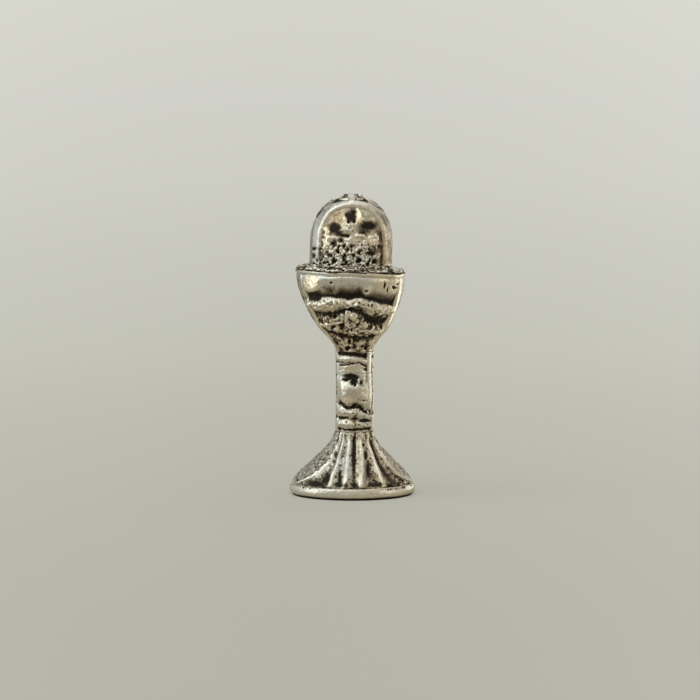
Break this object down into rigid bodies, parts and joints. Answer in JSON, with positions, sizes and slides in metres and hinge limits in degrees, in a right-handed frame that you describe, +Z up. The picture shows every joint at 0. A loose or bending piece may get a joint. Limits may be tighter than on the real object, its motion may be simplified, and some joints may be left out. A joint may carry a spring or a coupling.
{
  "type": "ciborium",
  "caption": "Standing lidded altar cup with a domed lift-off lid, ringed stem with a swelling knop, and a wide fluted foot, in worn antiqued silver plate.",
  "frame": {"origin": "centre of the foot's resting plane", "axes": "+Z up through the stem and the finial, -Y towards the front, the arched and fluted front and back faces lie at -Y and +Y"},
  "size_m": [0.1042, 0.1042, 0.25],
  "materials": {
    "antique_silver": "silver plate over cast brass, polished on the high places and oxidised dark in the recesses",
    "gilt": "satin gilt inside the cup",
    "plain_brass": "turned, unplated, slightly tarnished",
    "zinc_steel": "plain fastener steel"
  },
  "bodies": {
    "vessel": {"foot_rim": "antique_silver", "foot_shell": "antique_silver", "tie_rod": "zinc_steel", "clamp_washer": "plain_brass", "lock_washer": "zinc_steel", "tie_nut": "zinc_steel", "stem_tube": "plain_brass", "lower_collar": "antique_silver", "knop": "antique_silver", "knop_cushions": "antique_silver", "upper_collar": "antique_silver", "calyx": "antique_silver", "calyx_ornaments": "antique_silver", "cup_boss": "plain_brass", "bowl_liner": "gilt", "cup_rim": "antique_silver"},
    "lid": {"lid_brim": "antique_silver", "lid_bezel": "gilt", "lid_dome": "antique_silver", "lid_arch_mouldings": "antique_silver", "lid_relief_panels": "antique_silver", "finial": "antique_silver", "finial_washer": "plain_brass", "finial_nut": "plain_brass"}
  },
  "joints": [
    {"name": "lid_lift", "type": "slide", "parent": "vessel", "child": "lid", "axis": [0, 0, 1], "range_m": [0, 0.12]}
  ]
}
